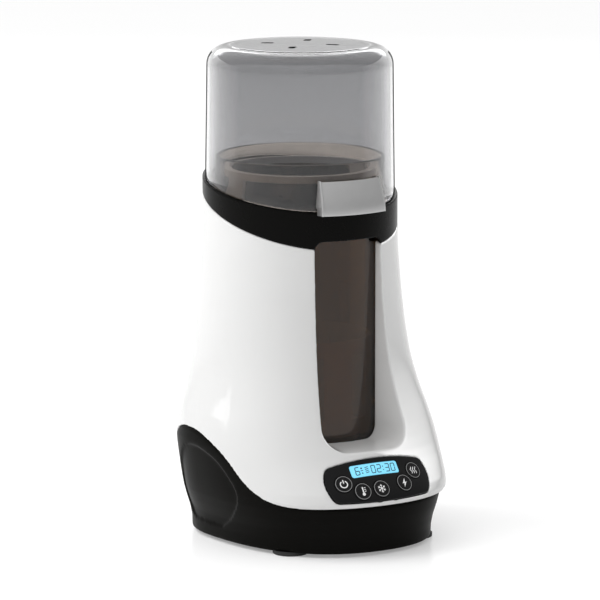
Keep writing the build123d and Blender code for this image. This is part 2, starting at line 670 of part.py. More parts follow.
with BuildPart() as terminal_block:
    terminal_x, terminal_y = terminal_spots[0]
    low_corner = (-terminal_x - 5, terminal_y - 5, board_top)
    high_corner = (terminal_x + 5, terminal_y + 5, POWER_BOARD_Z + 9.6)
    add(block(low_corner, high_corner))
save(terminal_block.part, "terminal_block")

with BuildPart() as panel_ribbon:
    with BuildSketch(Plane.YZ):
        with BuildLine():
            plug_y = POWER_BOARD_Y - board_y + 4
            board_back = panel_plane.from_local_coords(Vector(0, -7, BOARD_N - BOARD_THICKNESS - 0.5))
            route = [(board_back.Y, board_back.Z), (board_back.Y + 8, board_back.Z - 4)]
            route += [(board_back.Y + 10, 19), (plug_y - 9, 14.5), (plug_y, board_top + 0.8)]
            FilletPolyline(*route, radius=3.0)
        trace(line_width=0.8)
    extrude(amount=6, both=True)
save(panel_ribbon.part, "panel_ribbon")

with BuildPart() as cord_gland:
    with Locations(Plane(origin=(0, 44.5, GLAND_Z), z_dir=(0, 1, 0))):
        Cylinder(GLAND_R, 12, align=(Align.CENTER, Align.CENTER, Align.MIN))
    with Locations(Plane(origin=(0, 53.3, GLAND_Z), z_dir=(0, 1, 0))):
        Cylinder(GLAND_FLANGE_R, 3.2, align=(Align.CENTER, Align.CENTER, Align.MIN))
    with Locations(Plane(origin=(0, 44.5, GLAND_Z), z_dir=(0, 1, 0))):
        Cylinder(GLAND_FLANGE_R, 2.2, align=(Align.CENTER, Align.CENTER, Align.MIN))
        Cylinder(GLAND_BORE_R, 14, align=(Align.CENTER, Align.CENTER, Align.MIN), mode=Mode.SUBTRACT)
    fillet(cord_gland.edges().filter_by(GeomType.CIRCLE).group_by(Axis.Y)[-1], 0.6)
save(cord_gland.part, "cord_gland")

clamp_spots = [(-8, 34), (8, 34)]
with BuildPart() as cord_clamp:
    add(block((-12, 29, plate_top), (12, 39, GLAND_Z + 4.5)))
    with Locations(Plane(origin=(0, 20, GLAND_Z), z_dir=(0, 1, 0))):
        Cylinder(GLAND_BORE_R, 30, align=(Align.CENTER, Align.CENTER, Align.MIN), mode=Mode.SUBTRACT)
    add(column(SCREW_HOLE_R, plate_top + 1, 40, clamp_spots), mode=Mode.SUBTRACT)
save(cord_clamp.part, "cord_clamp")

with BuildPart() as clamp_screws:
    add(screws(clamp_spots, GLAND_Z + 4.5, 10, head_up=True))
save(clamp_screws.part, "clamp_screws")
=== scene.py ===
"""Looks of the countertop bottle warmer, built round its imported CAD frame.

Metres, +Z up, front towards -Y. Moulded shells are smooth meshes made from the CAD solids, the
clear pieces are turned afresh from their profiles, and the panel's graphics are thin pieces laid on
the keys and display.
"""

from math import asin, atan2, cos, pi, radians, sin, tan

import bmesh
import bpy
import numpy as np
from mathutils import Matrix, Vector
from mathutils.bvhtree import BVHTree


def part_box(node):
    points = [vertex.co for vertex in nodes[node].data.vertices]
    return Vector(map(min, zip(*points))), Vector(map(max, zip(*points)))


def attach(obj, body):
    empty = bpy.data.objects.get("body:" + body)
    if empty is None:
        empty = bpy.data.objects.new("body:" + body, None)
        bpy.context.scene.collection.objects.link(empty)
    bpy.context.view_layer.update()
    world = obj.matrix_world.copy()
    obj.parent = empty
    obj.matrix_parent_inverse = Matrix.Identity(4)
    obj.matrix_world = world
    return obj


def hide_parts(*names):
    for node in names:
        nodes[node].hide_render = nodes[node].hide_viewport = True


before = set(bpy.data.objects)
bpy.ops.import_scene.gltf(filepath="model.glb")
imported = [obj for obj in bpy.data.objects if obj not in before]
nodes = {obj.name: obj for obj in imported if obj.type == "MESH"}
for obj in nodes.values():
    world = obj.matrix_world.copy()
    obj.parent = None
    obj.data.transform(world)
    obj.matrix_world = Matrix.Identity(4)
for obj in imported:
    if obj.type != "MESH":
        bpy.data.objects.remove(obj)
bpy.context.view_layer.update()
scene = bpy.context.scene

# ---------------------------------------------------------------- driving dimensions
MM = 0.001
AXIS_Y = 17.7 * MM  # the tank's axis
BAND_TOP_Z, BAND_TOP_SLOPE = 206.6 * MM, 0.178
LID_TOP_Z, LID_R, LID_RIM_R, LID_RIM_Z = 289.5 * MM, 55 * MM, 56.2 * MM, 190 * MM
LID_WALL, LID_SHOULDER, LID_DISC_R, LID_STEP = 2.2 * MM, 11 * MM, 41 * MM, 0.5 * MM
REST_GAP = 0.05 * MM
VENT_RING_R, VENT_LENGTH, VENT_WIDTH = 19.6 * MM, 8 * MM, 4.4 * MM
TANK_R, TANK_WALL, TANK_Z, TANK_FLOOR, TANK_RIM_Z = 50 * MM, 2.4 * MM, 49 * MM, 3 * MM, 224.5 * MM
TANK_OUTLET_R = 37 * MM
WINDOW_R, WINDOW_GLASS = 53 * MM, 2 * MM
GRIP_TOP_Z, GRIP_LOW_Z = 215.4 * MM, 196.0 * MM
GRIP_TOP_R, GRIP_LOW_R = 58.0 * MM, 63.2 * MM
GRIP_TOP_HALF, GRIP_LOW_HALF = 20.6 * MM, 21.8 * MM
GRIP_BACK_R, GRIP_HOOK_R, GRIP_HOOK_Z = 56.3 * MM, 57.95 * MM, 200.0 * MM
RIB_SHARE, RIB_PROUD, RIB_HORN = 0.05, 0.45 * MM, 0.7 * MM
PANEL_TILT = radians(34.0)
PANEL_ORIGIN = Vector((0, -88.9 * MM + AXIS_Y, 45.2 * MM))
KEYS = {
    "key_power": (-25.0, -0.6),
    "key_room": (-14.9, -7.1),
    "key_cold": (-2.6, -7.1),
    "key_quick": (14.2, -5.0),
    "key_steady": (23.8, 2.6),
}
KEY_R, KEY_HOLE_R, KEY_PROUD = 5.3, 5.45, 0.35
LCD_CENTRE, LCD_SIZE, LCD_CORNER = (-2.2, 5.9), (32.0, 7.6), 1.4
TURN_STEPS = 256
SHARP = radians(50)  # edges sharper than this are shaded as edges on the turned pieces and the pane


# ---------------------------------------------------------------- materials
def material(name, colour, roughness, metallic=0.0, **inputs):
    """A Principled material; further inputs by their socket names with underscores for spaces."""
    made = bpy.data.materials.new(name)
    made.use_nodes = True
    shader = made.node_tree.nodes["Principled BSDF"]
    shader.inputs["Base Color"].default_value = (*colour, 1)
    shader.inputs["Roughness"].default_value = roughness
    shader.inputs["Metallic"].default_value = metallic
    for key, value in inputs.items():
        shader.inputs[key.replace("_", " ")].default_value = value
    return made


def calculated(tree, operation, *terms):
    """The output of a Math node whose terms are numbers or other nodes' outputs."""
    node = tree.nodes.new("ShaderNodeMath")
    node.operation = operation
    for entry, term in zip(node.inputs, terms):
        if isinstance(term, bpy.types.NodeSocket):
            tree.links.new(term, entry)
        else:
            entry.default_value = term
    return node.outputs["Value"]


def projected(tree, vector, direction):
    """How far a vector output points in a fixed direction."""
    node = tree.nodes.new("ShaderNodeVectorMath")
    node.operation = "DOT_PRODUCT"
    node.inputs[1].default_value = direction
    tree.links.new(vector, node.inputs[0])
    return node.outputs["Value"]


def noise(tree, scale, detail, stretch=(1, 1, 1)):
    """A noise texture in object space, in metres, squeezed by stretch along each axis."""
    place = tree.nodes.new("ShaderNodeTexCoord")
    mapping = tree.nodes.new("ShaderNodeMapping")
    mapping.inputs["Scale"].default_value = stretch
    texture = tree.nodes.new("ShaderNodeTexNoise")
    texture.inputs["Scale"].default_value = scale
    texture.inputs["Detail"].default_value = detail
    tree.links.new(place.outputs["Object"], mapping.inputs["Vector"])
    tree.links.new(mapping.outputs["Vector"], texture.inputs["Vector"])
    return texture.outputs["Fac"]


def ramped(tree, source, low, high):
    """The source mapped from 0..1 to low..high."""
    node = tree.nodes.new("ShaderNodeMapRange")
    node.inputs["To Min"].default_value = low
    node.inputs["To Max"].default_value = high
    tree.links.new(source, node.inputs["Value"])
    return node.outputs["Result"]


def textured(made, grain=0.0, grain_scale=2500, wander=0.0, wander_scale=30, tint=0.0, stretch=(1, 1, 1)):
    """Adds what a moulding has: fine grain as bump, slow changes of gloss, and slight changes of tone."""
    tree = made.node_tree
    shader = tree.nodes["Principled BSDF"]
    if grain:
        bump = tree.nodes.new("ShaderNodeBump")
        bump.inputs["Strength"].default_value = grain
        bump.inputs["Distance"].default_value = 0.05 * MM
        tree.links.new(noise(tree, grain_scale, 2, stretch), bump.inputs["Height"])
        tree.links.new(bump.outputs["Normal"], shader.inputs["Normal"])
    if wander:
        base = shader.inputs["Roughness"].default_value
        low, high = max(0.0, base - wander), base + wander
        tree.links.new(ramped(tree, noise(tree, wander_scale, 4), low, high), shader.inputs["Roughness"])
    if tint:
        colour = shader.inputs["Base Color"].default_value[:]
        mix = tree.nodes.new("ShaderNodeMix")
        mix.data_type = "RGBA"
        mix.inputs["A"].default_value = [c * (1 - tint) for c in colour[:3]] + [1]
        mix.inputs["B"].default_value = [min(1, c * (1 + tint)) for c in colour[:3]] + [1]
        tree.links.new(noise(tree, wander_scale * 2, 5), mix.inputs["Factor"])
        tree.links.new(mix.outputs["Result"], shader.inputs["Base Color"])


EDGE_SPREAD, EDGE_TONE = 0.08, 0.12  # how wide the dark edge fades in, and its share of the tint
UPRIGHT = 0.7  # a wall is upright while its normal's rise is less than this


def dark_edge(tree, shader, colour, start):
    """The shader, darkened where an upright wall is seen edge on, from that much of a glancing view."""
    view = tree.nodes.new("ShaderNodeLayerWeight")
    glancing = tree.nodes.new("ShaderNodeMapRange")
    glancing.interpolation_type = "SMOOTHSTEP"
    glancing.inputs["From Min"].default_value = start
    glancing.inputs["From Max"].default_value = start + EDGE_SPREAD
    tree.links.new(view.outputs["Facing"], glancing.inputs["Value"])
    geometry = tree.nodes.new("ShaderNodeNewGeometry")
    level = calculated(tree, "ABSOLUTE", projected(tree, geometry.outputs["Normal"], (0, 0, 1)))
    upright = calculated(tree, "LESS_THAN", level, UPRIGHT)
    edge = tree.nodes.new("ShaderNodeBsdfDiffuse")
    edge.inputs["Color"].default_value = [c * EDGE_TONE for c in colour] + [1]
    mix = tree.nodes.new("ShaderNodeMixShader")
    tree.links.new(calculated(tree, "MULTIPLY", glancing.outputs["Result"], upright), mix.inputs["Fac"])
    tree.links.new(shader, mix.inputs[1])
    tree.links.new(edge.outputs["BSDF"], mix.inputs[2])
    return mix.outputs["Shader"]


def clear_plastic(name, colour, roughness, shadow, dark_from=None):
    """Tinted clear plastic; direct light passes it as through a thin tinted film.

    With dark_from, upright walls darken where they are seen edge on.
    """
    made = material(name, colour, roughness, Transmission_Weight=1.0, IOR=1.49)
    tree = made.node_tree
    seen = tree.nodes["Principled BSDF"].outputs["BSDF"]
    if dark_from is not None:
        seen = dark_edge(tree, seen, colour, dark_from)
    film = tree.nodes.new("ShaderNodeBsdfTransparent")
    film.inputs["Color"].default_value = (*shadow, 1)
    path = tree.nodes.new("ShaderNodeLightPath")
    mix = tree.nodes.new("ShaderNodeMixShader")
    tree.links.new(path.outputs["Is Shadow Ray"], mix.inputs["Fac"])
    tree.links.new(seen, mix.inputs[1])
    tree.links.new(film.outputs["BSDF"], mix.inputs[2])
    tree.links.new(mix.outputs["Shader"], tree.nodes["Material Output"].inputs["Surface"])
    return made


white = material("white_gloss", (0.77, 0.77, 0.765), 0.1, Coat_Weight=0.3, Coat_Roughness=0.02)
textured(white, grain=0.02, grain_scale=900, wander=0.03, wander_scale=40, tint=0.008)
black = material("black_satin", (0.003, 0.0028, 0.0022), 0.4, Specular_IOR_Level=0.05)
textured(black, grain=0.12, grain_scale=3500, wander=0.05, wander_scale=50, tint=0.12)
collar_black = material("collar_satin", (0.002, 0.0019, 0.0016), 0.27, Specular_IOR_Level=0.07)
textured(collar_black, grain=0.1, grain_scale=3500, wander=0.05, wander_scale=60, tint=0.1)
fascia = material("fascia_gloss", (0.003, 0.003, 0.0032), 0.08, Specular_IOR_Level=0.2)
textured(fascia, grain=0.01, grain_scale=1200, wander=0.02, wander_scale=80)
key_gloss = material("key_gloss", (0.004, 0.004, 0.0042), 0.12, Specular_IOR_Level=0.22)
textured(key_gloss, grain=0.01, grain_scale=1500, wander=0.03, wander_scale=120)
smoke = clear_plastic("lid_smoke", (0.52, 0.52, 0.53), 0.01, (0.6, 0.6, 0.61), dark_from=0.8)
amber = clear_plastic("tank_amber", (0.92, 0.82, 0.72), 0.04, (0.82, 0.7, 0.58))
window_brown = clear_plastic("window_brown", (0.3, 0.18, 0.09), 0.02, (0.4, 0.26, 0.16))
silver = material("grip_silver", (0.54, 0.54, 0.54), 0.3, metallic=0.8, Coat_Weight=0.2, Coat_Roughness=0.1)
textured(silver, grain=0.05, grain_scale=3000, wander=0.05, wander_scale=90, tint=0.04)
silicone = material("silicone_grey", (0.2, 0.195, 0.19), 0.55)
textured(silicone, grain=0.1, grain_scale=2500, wander=0.08, tint=0.08)
rubber = material("foot_rubber", (0.02, 0.02, 0.02), 0.7)
textured(rubber, grain=0.4, grain_scale=2500, wander=0.1, tint=0.2)
steel = material("screw_steel", (0.62, 0.61, 0.59), 0.3, metallic=1.0)
textured(steel, grain=0.15, grain_scale=2500, wander=0.1, stretch=(1, 1, 8), tint=0.1)
aluminium = material("heater_aluminium", (0.78, 0.78, 0.79), 0.32, metallic=1.0)
textured(aluminium, grain=0.2, grain_scale=1500, wander=0.1, stretch=(1, 8, 1), tint=0.05)
element = material("element_steel", (0.34, 0.3, 0.27), 0.4, metallic=1.0)
textured(element, grain=0.2, grain_scale=1500, wander=0.1, tint=0.25)
grey_plastic = material("inner_grey", (0.42, 0.42, 0.41), 0.5)
textured(grey_plastic, grain=0.2, grain_scale=1800, wander=0.08, tint=0.05)
basket_grey = material("basket_grey", (0.52, 0.51, 0.5), 0.45)
textured(basket_grey, grain=0.15, grain_scale=2000, wander=0.08, tint=0.08)
board_green = material("board_green", (0.02, 0.13, 0.06), 0.3)
textured(board_green, grain=0.2, grain_scale=900, wander=0.06, tint=0.2)
part_black = material("component_black", (0.02, 0.02, 0.02), 0.4)
textured(part_black, grain=0.2, grain_scale=2500, wander=0.08, tint=0.2)
part_white = material("component_white", (0.72, 0.71, 0.67), 0.45)
textured(part_white, grain=0.1, grain_scale=2500, wander=0.08, tint=0.05)
part_blue = material("component_blue", (0.03, 0.1, 0.4), 0.35)
textured(part_blue, grain=0.1, grain_scale=2500, wander=0.08, tint=0.1)
part_yellow = material("transformer_tape", (0.7, 0.5, 0.08), 0.35)
textured(part_yellow, grain=0.2, grain_scale=1800, wander=0.08, tint=0.08)
sleeve = material("wire_sleeve", (0.6, 0.58, 0.54), 0.6)
textured(sleeve, grain=0.5, grain_scale=3500, wander=0.08, tint=0.12)
lcd_glow = {"Emission_Color": (0.18, 0.66, 0.9, 1), "Emission_Strength": 0.6}
lcd_blue = material("lcd_lit", (0.2, 0.55, 0.72), 0.15, **lcd_glow)
textured(lcd_blue, grain=0.01, grain_scale=800, wander=0.03, tint=0.05)
lcd_dark = material("lcd_segment", (0.01, 0.03, 0.05), 0.3)
textured(lcd_dark, wander=0.05, tint=0.1)
# The white print glows a little: this is painted brightness, since the print is no lamp.
print_painted_glow = {"Emission_Color": (1, 1, 1, 1), "Emission_Strength": 0.12}
white_print_painted_glow = material("white_print_painted_glow", (0.85, 0.85, 0.85), 0.4, **print_painted_glow)
textured(white_print_painted_glow, wander=0.06, wander_scale=400, tint=0.05)
print_grey = material("print_grey", (0.3, 0.3, 0.3), 0.35)
textured(print_grey, wander=0.06, wander_scale=400, tint=0.08)

CAD_MATERIALS = {
    "base_plate": black,
    "collar_gasket": silicone,
    "tank_seal": silicone,
    "lift_pad": silicone,
    "foot_front_left": rubber,
    "foot_front_right": rubber,
    "foot_rear_left": rubber,
    "foot_rear_right": rubber,
    "cord_gland": rubber,
    "base_screws": steel,
    "body_screws": steel,
    "chassis_screws": steel,
    "heater_screws": steel,
    "clamp_screws": steel,
    "heater_plate": aluminium,
    "heater_clamp": aluminium,
    "heater_element": element,
    "thermistor": element,
    "thermal_fuse": part_white,
    "heater_leads": sleeve,
    "panel_ribbon": sleeve,
    "chassis": grey_plastic,
    "cord_clamp": grey_plastic,
    "board_standoffs": grey_plastic,
    "panel_frame": grey_plastic,
    "lift_basket": basket_grey,
    "lift_handle": basket_grey,
    "lcd_module": part_white,
    "control_board": board_green,
    "power_board": board_green,
    "key_switches": part_black,
    "buzzer": part_black,
    "power_transformer": part_yellow,
    "power_relay": part_blue,
    "power_capacitor": part_black,
    "terminal_block": part_white,
}
for node_name, look in CAD_MATERIALS.items():
    mesh = nodes[node_name].data
    mesh.materials.clear()
    mesh.materials.append(look)


# ---------------------------------------------------------------- mesh helpers
def show(name, mesh, look, body, slot, *replaced):
    """Puts a mesh in the scene as a piece of the object."""
    piece = bpy.data.objects.new(name, mesh)
    scene.collection.objects.link(piece)
    mesh.materials.clear()
    mesh.materials.append(look)
    mesh.shade_smooth()
    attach(piece, body)
    if replaced:
        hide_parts(*replaced)
    return piece


def evaluated(piece):
    """The piece's mesh with its modifiers applied."""
    bpy.context.view_layer.update()
    graph = bpy.context.evaluated_depsgraph_get()
    return bpy.data.meshes.new_from_object(piece.evaluated_get(graph))


def moulded(node, name, look, body, slot, voxel, passes, faces):
    """A smooth moulding with rounded edges from a CAD node's solid, thinned to about faces triangles."""
    mesh = nodes[node].data.copy()
    draft = bpy.data.objects.new("draft", mesh)
    scene.collection.objects.link(draft)
    weld = draft.modifiers.new("weld", "WELD")
    weld.merge_threshold = 0.002 * MM
    remesh = draft.modifiers.new("remesh", "REMESH")
    remesh.mode = "VOXEL"
    remesh.voxel_size = voxel * MM
    relax = draft.modifiers.new("relax", "SMOOTH")
    relax.factor = 0.5
    relax.iterations = passes
    result = evaluated(draft)
    if len(result.polygons) * 2 > faces:
        draft.modifiers.clear()
        draft.data = result
        thin = draft.modifiers.new("thin", "DECIMATE")
        thin.ratio = faces / (len(result.polygons) * 2)
        result = evaluated(draft)
    bpy.data.objects.remove(draft)
    result.name = name
    return show(name, result, look, body, slot, node)


def turned(name, profile, look, body, slot, *replaced):
    """Turns a profile of (radius, z) about the tank's axis.

    A z may be a function of the point's y from the axis. A profile that starts and ends on the axis is
    closed by it, and any other by joining its last point to its first.
    """
    mesh = bpy.data.meshes.new(name)
    made = bmesh.new()
    rings = []
    for step in range(TURN_STEPS):
        angle = 2 * pi * step / TURN_STEPS
        ring = []
        for radius, z in profile:
            x, y = radius * cos(angle), radius * sin(angle)
            height = z(y) if callable(z) else z
            ring.append(made.verts.new((x, y + AXIS_Y, height)) if radius > 1e-7 else None)
        rings.append(ring)
    poles = {i: made.verts.new((0, AXIS_Y, z)) for i, (radius, z) in enumerate(profile) if radius <= 1e-7}
    count = len(profile)
    spans = count - 1 if poles else count
    for step in range(TURN_STEPS):
        here, there = rings[step], rings[(step + 1) % TURN_STEPS]
        for i in range(spans):
            j = (i + 1) % count
            a, b = here[i] or poles[i], here[j] or poles[j]
            c, d = there[j] or poles[j], there[i] or poles[i]
            made.faces.new(list(dict.fromkeys((a, b, c, d))))
    bmesh.ops.recalc_face_normals(made, faces=made.faces)
    made.to_mesh(mesh)
    made.free()
    return show(name, mesh, look, body, slot, *replaced)


def arc(centre_r, centre_z, radius, start, end, steps):
    """Points of an arc in the profile plane, angles in degrees from the outward direction."""
    spread = [radians(start + (end - start) * i / steps) for i in range(steps + 1)]
    return [(centre_r + radius * cos(a), centre_z + radius * sin(a)) for a in spread]


# ---------------------------------------------------------------- shells
shell = moulded(
    "body_shell", "white_body", white, "casing", "white_shell", voxel=0.55, passes=18, faces=180000
)
moulded("base_shell", "black_base", black, "casing", "black_shell", voxel=0.6, passes=24, faces=120000)
moulded("collar_band", "collar", collar_black, "casing", "collar_black", voxel=0.4, passes=8, faces=80000)


# ---------------------------------------------------------------- lid
def rim(lift):
    """Height of the lid's rim over a point at y from the axis."""
    return lambda y: BAND_TOP_Z + REST_GAP + BAND_TOP_SLOPE * y + lift


def dome_side(inset, inward):
    """The lid's outer or inner skin from its top centre to just above the rim."""
    crown = LID_TOP_Z - inset
    step_z = LID_TOP_Z - 2 * LID_STEP - inset
    radius = LID_SHOULDER - inset / 2
    side_r = LID_R - inset
    disc = LID_DISC_R - inset / 2
    points = [(0, crown)]
    points += [(disc * i / 12, crown - LID_STEP * (i / 12) ** 2) for i in range(1, 12)]
    points += [(disc - 0.4 * MM, crown - LID_STEP * 0.98), (disc, crown - LID_STEP * 1.15)]
    points += [(disc + 0.5 * MM, step_z + 0.12 * MM), (disc + 0.9 * MM, step_z)]
    points += arc(side_r - radius, step_z - radius, radius, 90, 0, 16)
    slope = (LID_RIM_R - LID_R) / (step_z - radius - LID_RIM_Z)
    top = step_z - radius

    def down(share):
        def height(y):
            return top + (rim(0.5 * MM)(y) - top) * share

        return height

    for i in range(1, 13):
        mean = top + (BAND_TOP_Z - top) * i / 12
        points.append((side_r + slope * (top - mean), down(i / 12)))
    return points if not inward else points[::-1]


outer_skin, inner_skin = dome_side(0, False), dome_side(LID_WALL, True)
rim_outer, rim_inner = outer_skin[-1][0], inner_skin[0][0]
rim_edge = [(rim_outer - 0.15 * MM, rim(0.15 * MM)), (rim_outer - 0.5 * MM, rim(0))]
rim_edge += [(rim_inner + 0.5 * MM, rim(0)), (rim_inner + 0.15 * MM, rim(0.15 * MM))]
lid = turned("lid_dome", outer_skin + rim_edge + inner_skin, smoke, "lid_part", "lid_smoke", "lid")


def vent_cutter():
    """Four upright obround bars on the lid's diagonals."""
    made = bmesh.new()
    half, reach = VENT_WIDTH / 2, (VENT_LENGTH - VENT_WIDTH) / 2
    for k in range(4):
        turn = radians(45 + 90 * k)
        outline = []
        for side in (1, -1):
            for i in range(13):
                a = radians(-90 + 180 * i / 12) + (0 if side > 0 else pi)
                outline.append((side * reach + half * cos(a), half * sin(a)))
        corners = []
        for along, across in outline:
            r = VENT_RING_R + along
            x, y = r * cos(turn) - across * sin(turn), r * sin(turn) + across * cos(turn)
            corners.append(made.verts.new((x, y + AXIS_Y, LID_TOP_Z - 8 * MM)))
        low = made.faces.new(corners)
        lifted = bmesh.ops.extrude_face_region(made, geom=[low])
        for vert in [g for g in lifted["geom"] if isinstance(g, bmesh.types.BMVert)]:
            vert.co.z += 12 * MM
    bmesh.ops.recalc_face_normals(made, faces=made.faces)
    mesh = bpy.data.meshes.new("vent_cutter")
    made.to_mesh(mesh)
    made.free()
    cutter = bpy.data.objects.new("vent_cutter", mesh)
    scene.collection.objects.link(cutter)
    return cutter


cutter = vent_cutter()
cut = lid.modifiers.new("vents", "BOOLEAN")
cut.object = cutter
cut.solver = "EXACT"
lid.data = evaluated(lid)
lid.modifiers.clear()
bpy.data.objects.remove(cutter)
lid.data.set_sharp_from_angle(angle=SHARP)

# ---------------------------------------------------------------- tank and window
inner_r = TANK_R - TANK_WALL
tank_profile = [(TANK_OUTLET_R, TANK_Z), (TANK_R - 0.6 * MM, TANK_Z), (TANK_R, TANK_Z + 0.6 * MM)]
tank_profile += [(TANK_R, TANK_Z + (TANK_RIM_Z - TANK_Z) * i / 8) for i in range(1, 8)]
tank_profile += arc(TANK_R - TANK_WALL / 2, TANK_RIM_Z - TANK_WALL / 2, TANK_WALL / 2, 0, 180, 12)
tank_profile += [(inner_r, TANK_RIM_Z - (TANK_RIM_Z - TANK_Z) * i / 8) for i in range(1, 8)]
tank_profile += [(inner_r, TANK_Z + TANK_FLOOR), (TANK_OUTLET_R, TANK_Z + TANK_FLOOR)]
turned("water_tank", tank_profile, amber, "casing", "tank_amber", "tank")


def window_pane():
    """The curved pane behind the front pocket, as tall and as wide as its CAD piece."""
    low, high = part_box("window_lens")
    spread = asin(high.x / WINDOW_R)
    columns, rows = 72, 40
    made = bmesh.new()
    grids = []
    for radius in (WINDOW_R, WINDOW_R - WINDOW_GLASS):
        grid = []
        for i in range(columns + 1):
            a = -spread + 2 * spread * i / columns
            x, y = radius * sin(a), -radius * cos(a) + AXIS_Y
            heights = [low.z + (high.z - low.z) * j / rows for j in range(rows + 1)]
            grid.append([made.verts.new((x, y, z)) for z in heights])
        grids.append(grid)
    front, back = grids
    for i in range(columns):
        for j in range(rows):
            made.faces.new((front[i][j], front[i + 1][j], front[i + 1][j + 1], front[i][j + 1]))
            made.faces.new((back[i][j], back[i][j + 1], back[i + 1][j + 1], back[i + 1][j]))
    for i in range(columns):
        made.faces.new((front[i][0], back[i][0], back[i + 1][0], front[i + 1][0]))
        made.faces.new((front[i][rows], front[i + 1][rows], back[i + 1][rows], back[i][rows]))
    for j in range(rows):
        made.faces.new((front[0][j], front[0][j + 1], back[0][j + 1], back[0][j]))
        made.faces.new((front[columns][j], back[columns][j], back[columns][j + 1], front[columns][j + 1]))
    bmesh.ops.recalc_face_normals(made, faces=made.faces)
    mesh = bpy.data.meshes.new("window_pane")
    made.to_mesh(mesh)
    made.free()
    show("window_pane", mesh, window_brown, "casing", "window_smoke", "window_lens")
    mesh.set_sharp_from_angle(angle=SHARP)


window_pane()


# ---------------------------------------------------------------- lid tab
def lid_tab():
    """Curved tab on the lid's front, with a raised rib at each end and a hook over the collar."""
    inner = 1 - RIB_SHARE
    across = [-1, -inner - 0.012, -inner] + [inner * (i / 20 - 1) for i in range(1, 40)]
    across += [inner, inner + 0.012, 1]
    rows = 24
    made = bmesh.new()
    front, back = [], []
    for share in across:
        rib = abs(share) > inner + 0.006
        top_z = GRIP_TOP_Z + (RIB_HORN if rib else 0)
        outer_line, inner_line = [], []
        for j in range(rows + 1):
            t = j / rows
            z = top_z + (GRIP_LOW_Z - top_z) * t
            radius = GRIP_TOP_R + (GRIP_LOW_R - GRIP_TOP_R) * sin(pi / 2 * t) + (RIB_PROUD if rib else 0)
            x = share * (GRIP_TOP_HALF + (GRIP_LOW_HALF - GRIP_TOP_HALF) * t)
            behind = GRIP_HOOK_R if z < GRIP_HOOK_Z else GRIP_BACK_R
            for line, r in ((outer_line, radius), (inner_line, behind)):
                line.append(made.verts.new((x, AXIS_Y - (r * r - x * x) ** 0.5, z)))
        front.append(outer_line)
        back.append(inner_line)
    last = len(across) - 1
    for i in range(last):
        for j in range(rows):
            made.faces.new((front[i][j], front[i][j + 1], front[i + 1][j + 1], front[i + 1][j]))
            made.faces.new((back[i][j], back[i + 1][j], back[i + 1][j + 1], back[i][j + 1]))
        made.faces.new((front[i][0], front[i + 1][0], back[i + 1][0], back[i][0]))
        made.faces.new((front[i][rows], back[i][rows], back[i + 1][rows], front[i + 1][rows]))
    for j in range(rows):
        made.faces.new((front[0][j], back[0][j], back[0][j + 1], front[0][j + 1]))
        made.faces.new((front[last][j], front[last][j + 1], back[last][j + 1], back[last][j]))
    bmesh.ops.recalc_face_normals(made, faces=made.faces)
    mesh = bpy.data.meshes.new("lid_tab")
    made.to_mesh(mesh)
    made.free()
    tab = show("lid_tab", mesh, silver, "lid_part", "grip_silver", "lid_grip")
    soft = tab.modifiers.new("soft_edges", "BEVEL")
    soft.width = 0.3 * MM
    soft.segments = 3
    soft.angle_limit = radians(35)


lid_tab()

# ---------------------------------------------------------------- panel pieces
panel_u = Vector((1, 0, 0))
panel_v = Vector((0, sin(PANEL_TILT), cos(PANEL_TILT)))
panel_n = Vector((0, -cos(PANEL_TILT), sin(PANEL_TILT)))


def on_panel(u, v, n):
    """The place at u across, v up and n out from the panel's plane, in millimetres."""
    return PANEL_ORIGIN + (panel_u * u + panel_v * v + panel_n * n) * MM


def bend_terms(u, v):
    """What the fascia's face is fitted with: the same on the left as on the right."""
    u, v = u / 30, v / 10
    return [1, v, u * u, v * v, u * u * v, u**4, v**3, u * u * v * v]


def fitted_face():
    """The fascia's face as a smooth height over the panel's plane."""
    mesh = nodes["panel_overlay"].data
    skin = BVHTree.FromPolygons([v.co for v in mesh.vertices], [p.vertices for p in mesh.polygons])
    rows, heights = [], []
    for u in np.arange(-32, 32.1, 1.6):
        for v in np.arange(-12, 12.1, 1.2):
            hit = skin.ray_cast(on_panel(u, v, 20), -panel_n)[0]
            if hit is not None:
                rows.append(bend_terms(u, v))
                heights.append((hit - PANEL_ORIGIN).dot(panel_n) / MM)
    return np.linalg.lstsq(np.array(rows), np.array(heights), rcond=None)[0]


face_fit = fitted_face()


def face_height(u, v):
    return float(np.dot(face_fit, bend_terms(u, v)))


def arc_through(start, middle, end, steps):
    """Points on the circular arc through three points, without the last one."""
    (ax, ay), (bx, by), (cx, cy) = start, middle, end
    d = 2 * (ax * (by - cy) + bx * (cy - ay) + cx * (ay - by))
    sa, sb, sc = ax * ax + ay * ay, bx * bx + by * by, cx * cx + cy * cy
    ox = (sa * (by - cy) + sb * (cy - ay) + sc * (ay - by)) / d
    oy = (sa * (cx - bx) + sb * (ax - cx) + sc * (bx - ax)) / d
    radius = ((ax - ox) ** 2 + (ay - oy) ** 2) ** 0.5
    first, mid, last = (atan2(y - oy, x - ox) for x, y in (start, middle, end))
    sweep = (last - first + pi) % (2 * pi) - pi
    if abs((mid - first + pi) % (2 * pi) - pi) > abs(sweep):
        sweep -= 2 * pi * (1 if sweep > 0 else -1)
    angles = [first + sweep * i / steps for i in range(steps)]
    return [(ox + radius * cos(a), oy + radius * sin(a)) for a in angles]


